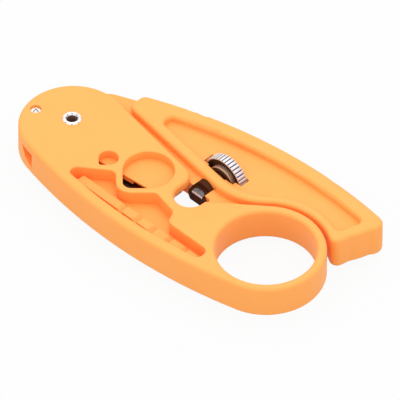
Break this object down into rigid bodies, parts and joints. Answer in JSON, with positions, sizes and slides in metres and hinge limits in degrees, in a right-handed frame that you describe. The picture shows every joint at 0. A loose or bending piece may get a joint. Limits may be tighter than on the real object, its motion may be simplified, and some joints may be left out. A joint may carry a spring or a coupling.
{
  "type": "wire cutter stripper",
  "caption": "Hand tool that strips and cuts network cable: a ring lever and a sprung handle lever on a hollow rivet, with a thumbwheel that feeds a small stripping blade.",
  "frame": {"origin": "on the pivot axis, in the plane of the ring lever's underside", "axes": "+X from the rivet to the finger ring and the tail, +Y from the ring lever to the handle lever, +Z out of the upper face along the pivot axis"},
  "size_m": [0.1117, 0.058, 0.0152],
  "materials": {
    "orange_plastic": "satin moulded",
    "plated_steel": "bright plated",
    "blade_steel": "ground",
    "black_plastic": "glossy"
  },
  "bodies": {
    "ring_side": {"ring_lever": "orange_plastic", "pivot_rivet": "plated_steel", "rivet_washer": "plated_steel", "nose_pin": "plated_steel", "return_spring": "blade_steel"},
    "handle_side": {"handle_lever": "orange_plastic", "cutter_blade": "blade_steel", "blade_screw_nose": "plated_steel", "blade_screw_tail": "plated_steel"},
    "wheel": {"thumbwheel": "plated_steel", "wheel_nut": "black_plastic"},
    "carrier": {"blade_carrier": "black_plastic", "lead_screw": "blade_steel", "strip_blade": "blade_steel"}
  },
  "joints": [
    {"name": "handle_pivot", "type": "hinge", "parent": "ring_side", "child": "handle_side", "pos_m": [0, 0, 0.0055], "axis": [0, 0, 1], "range_deg": [0, 35], "stiffness_Nm_per_rad": 0.076, "springref_deg": -45.84, "deforming": ["return_spring"]},
    {"name": "wheel_spin", "type": "hinge", "parent": "handle_side", "child": "wheel", "pos_m": [0.046, 0.01885, 0.0055], "axis": [0, -1, 0], "range_deg": [0, 1800]},
    {"name": "carrier_slide", "type": "slide", "parent": "handle_side", "child": "carrier", "axis": [0, -1, 0], "range_m": [0, 0.004]}
  ],
  "couplings": [
    {"joint": "carrier_slide", "follows": "wheel_spin", "m_per_rad": 0.000127}
  ]
}
